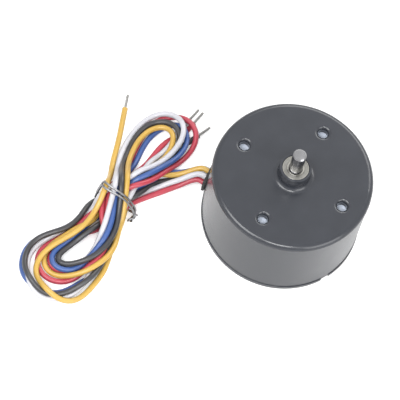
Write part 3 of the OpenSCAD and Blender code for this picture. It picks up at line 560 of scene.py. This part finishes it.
FINISHES = {
    "can_paint": dict(color=(0.030, 0.033, 0.041), rough=0.24, spots=0.10, scale=160, bump=0.08,
                      bump_scale=900, rough_range=0.04, coat=0.18, spec=0.45),
    "cover_paint": dict(color=(0.034, 0.037, 0.045), rough=0.3, spots=0.10, scale=160, bump=0.1,
                        bump_scale=900, rough_range=0.04, coat=0.2),
    "screw_steel": dict(color=(0.55, 0.55, 0.56), rough=0.32, metal=1, spots=0.2, scale=1500, bump=0.2),
    "grommet_rubber": dict(color=(0.025, 0.025, 0.026), rough=0.6, spots=0.3, scale=900, bump=0.4),
    "race_steel": dict(color=(0.50, 0.49, 0.45), rough=0.24, metal=1, spots=0.15, scale=700, bump=0.12,
                       grain=(1, 1, 6)),
    "shield_steel": dict(color=(0.27, 0.265, 0.245), rough=0.34, metal=1, spots=0.18, scale=900, bump=0.15),
    "ball_steel": dict(color=(0.8, 0.8, 0.8), rough=0.08, metal=1, spots=0.05, scale=500, rough_range=0.02),
    "cage_brass": dict(color=(0.72, 0.55, 0.25), rough=0.3, metal=1, spots=0.2, scale=900, bump=0.2),
    "spring_steel": dict(color=(0.55, 0.55, 0.57), rough=0.25, metal=1, spots=0.15, scale=900),
    "lamination_steel": dict(color=(0.32, 0.33, 0.35), rough=0.4, metal=1, spots=0.3, scale=1200,
                             bump=0.4, grain=(0.2, 0.2, 8)),
    "nylon": dict(color=(0.78, 0.86, 1.0), rough=0.5, spots=0.06, scale=400, bump=0.2),
    "copper_wire": dict(color=(0.72, 0.33, 0.14), rough=0.3, metal=1, spots=0.25, scale=700, bump=0.6,
                        bump_scale=2600, grain=(1, 1, 3)),
    "board_laminate": dict(color=(0.04, 0.24, 0.10), rough=0.35, spots=0.3, scale=500, bump=0.3),
    "chip_plastic": dict(color=(0.035, 0.035, 0.036), rough=0.5, spots=0.2, scale=1500, bump=0.3),
    "capacitor_can": dict(color=(0.75, 0.75, 0.76), rough=0.25, metal=1, spots=0.1, scale=900),
    "ceramic": dict(color=(0.52, 0.38, 0.25), rough=0.5, spots=0.15, scale=1500, bump=0.2),
    "pin_brass": dict(color=(0.78, 0.62, 0.30), rough=0.25, metal=1, spots=0.12, scale=900, grain=(1, 1, 6)),
    "lead_insulation": dict(color=(0.5, 0.5, 0.5), rough=0.4, spots=0.08, scale=600, bump=0.1),
    "solder": dict(color=(0.7, 0.7, 0.71), rough=0.2, metal=1, spots=0.15, scale=700, bump=0.3),
    "shaft_steel": dict(color=(0.32, 0.32, 0.33), rough=0.24, metal=1, spots=0.25, scale=260, bump=0.2,
                        bump_scale=900, grain=(1, 1, 14), rough_range=0.06),
    "rotor_steel": dict(color=(0.35, 0.35, 0.36), rough=0.4, metal=1, spots=0.3, scale=1200, bump=0.4,
                        grain=(0.2, 0.2, 8)),
    "magnet": dict(color=(0.10, 0.10, 0.11), rough=0.55, spots=0.3, scale=1200, bump=0.5),
    "tie_wire": dict(color=(0.30, 0.30, 0.31), rough=0.30, metal=1, spots=0.3, scale=600, bump=0.2),
    "tinned_copper": dict(color=(0.36, 0.355, 0.34), rough=0.34, metal=1, spots=0.3, scale=900, bump=0.2),
}
INSULATION = {
    "red": (0.46, 0.052, 0.078),
    "black": (0.040, 0.040, 0.044),
    "white": (0.58, 0.58, 0.62),
    "blue": (0.045, 0.10, 0.30),
    "yellow": (0.58, 0.365, 0.075),
}
for name, color in INSULATION.items():
    FINISHES["wire_" + name] = dict(color=color, rough=0.36, spots=0.10, scale=180, bump=0.22,
                                    bump_scale=1400, rough_range=0.06, coat=0.1)
materials = {name: material(name, **finish) for name, finish in FINISHES.items()}

slot_of = {s["node"]: s["material_slot"] for s in frame["record"]["subparts"]}
for node, obj in frame["nodes"].items():
    if not obj.material_slots:
        obj.data.materials.append(None)
    for place in obj.material_slots:
        place.link = "OBJECT"
        place.material = materials[slot_of[node]]
for name in names:
    wire_objects[name].data.materials.append(materials["wire_" + name])
    bare_objects[name].data.materials.append(materials["tinned_copper"])
tie.data.materials.append(materials["tie_wire"])

# Floor: white paper, which the camera alone sees glow, more so further off, so that it goes
# over into the white world without an edge
FLOOR_HALF = 1.5
FLOOR_DROP = 0.00002
GLOW_NEAR = (0.15, 0.32)
GLOW_FAR = (0.9, 0.62)

# Strength of the world as a light, and as it is seen
WORLD_LIGHT = 0.45
WORLD_SEEN = 1.0

# Lamps: place, aim, size and power
LAMPS = {
    "key_lamp": ((-0.30, -0.30, 0.62), (-0.02, -0.01, 0.01), (0.40, 0.40), 3.6),
    "front_lamp": ((0.10, -0.48, 0.80), (0, 0, 0.02), (0.30, 0.30), 3.6),
    "fill_lamp": ((0.45, -0.30, 0.30), (0, 0, 0.01), (0.4, 0.4), 1.8),
    "back_lamp": ((0.10, 0.50, 0.45), (-0.02, 0, 0.01), (0.5, 0.3), 2.0),
}


def math_node(tree, operation, first, second):
    """The result of an operation on two outputs."""
    node = tree.nodes.new("ShaderNodeMath")
    node.operation = operation
    tree.links.new(first, node.inputs[0])
    tree.links.new(second, node.inputs[1])
    return node.outputs[0]


def floor_material():
    mat = bpy.data.materials.new("floor_paper")
    mat.use_nodes = True
    tree = mat.node_tree
    nodes, links = tree.nodes, tree.links
    shader = nodes["Principled BSDF"]
    shader.inputs["Base Color"].default_value = (0.86, 0.86, 0.86, 1)
    shader.inputs["Roughness"].default_value = 0.9
    here = nodes.new("ShaderNodeTexCoord")
    distance = nodes.new("ShaderNodeVectorMath")
    distance.operation = "LENGTH"
    links.new(here.outputs["Object"], distance.inputs[0])
    amount = nodes.new("ShaderNodeMapRange")
    amount.inputs["From Min"].default_value, amount.inputs["To Min"].default_value = GLOW_NEAR
    amount.inputs["From Max"].default_value, amount.inputs["To Max"].default_value = GLOW_FAR
    links.new(distance.outputs["Value"], amount.inputs["Value"])
    path = nodes.new("ShaderNodeLightPath")
    strength = math_node(tree, "MULTIPLY", path.outputs["Is Camera Ray"], amount.outputs["Result"])
    glow = nodes.new("ShaderNodeEmission")
    links.new(strength, glow.inputs["Strength"])
    both = nodes.new("ShaderNodeAddShader")
    links.new(shader.outputs["BSDF"], both.inputs[0])
    links.new(glow.outputs["Emission"], both.inputs[1])
    links.new(both.outputs[0], nodes["Material Output"].inputs["Surface"])
    return mat


def make_floor():
    mesh = bpy.data.meshes.new("floor")
    bm = bmesh.new()
    bmesh.ops.create_grid(bm, x_segments=8, y_segments=8, size=FLOOR_HALF)
    bm.to_mesh(mesh)
    bm.free()
    floor = bpy.data.objects.new("floor", mesh)
    floor.location = (0, 0, -FLOOR_DROP)
    bpy.context.scene.collection.objects.link(floor)
    mesh.materials.append(floor_material())


def make_world():
    """White where the camera, glass or polish sees it, and a softer light on the object."""
    world = bpy.data.worlds.new("studio")
    world.use_nodes = True
    tree = world.node_tree
    back = tree.nodes["Background"]
    back.inputs["Color"].default_value = (1, 1, 1, 1)
    path = tree.nodes.new("ShaderNodeLightPath").outputs
    direct = math_node(tree, "MAXIMUM", path["Is Camera Ray"], path["Is Transmission Ray"])
    seen = math_node(tree, "MAXIMUM", direct, path["Is Glossy Ray"])
    strength = tree.nodes.new("ShaderNodeMapRange")
    strength.inputs["To Min"].default_value = WORLD_LIGHT
    strength.inputs["To Max"].default_value = WORLD_SEEN
    tree.links.new(seen, strength.inputs["Value"])
    tree.links.new(strength.outputs["Result"], back.inputs["Strength"])
    bpy.context.scene.world = world


def make_lamp(name, place, aim, size, power):
    data = bpy.data.lights.new(name, "AREA")
    data.shape = "RECTANGLE"
    data.size, data.size_y = size
    data.energy = power
    lamp = bpy.data.objects.new(name, data)
    lamp.location = place
    lamp.rotation_euler = (Vector(aim) - Vector(place)).to_track_quat("-Z", "Y").to_euler()
    bpy.context.scene.collection.objects.link(lamp)


make_floor()
make_world()
for name, lamp in LAMPS.items():
    make_lamp(name, *lamp)
bpy.context.scene.view_settings.view_transform = "Standard"

bpy.context.view_layer.update()
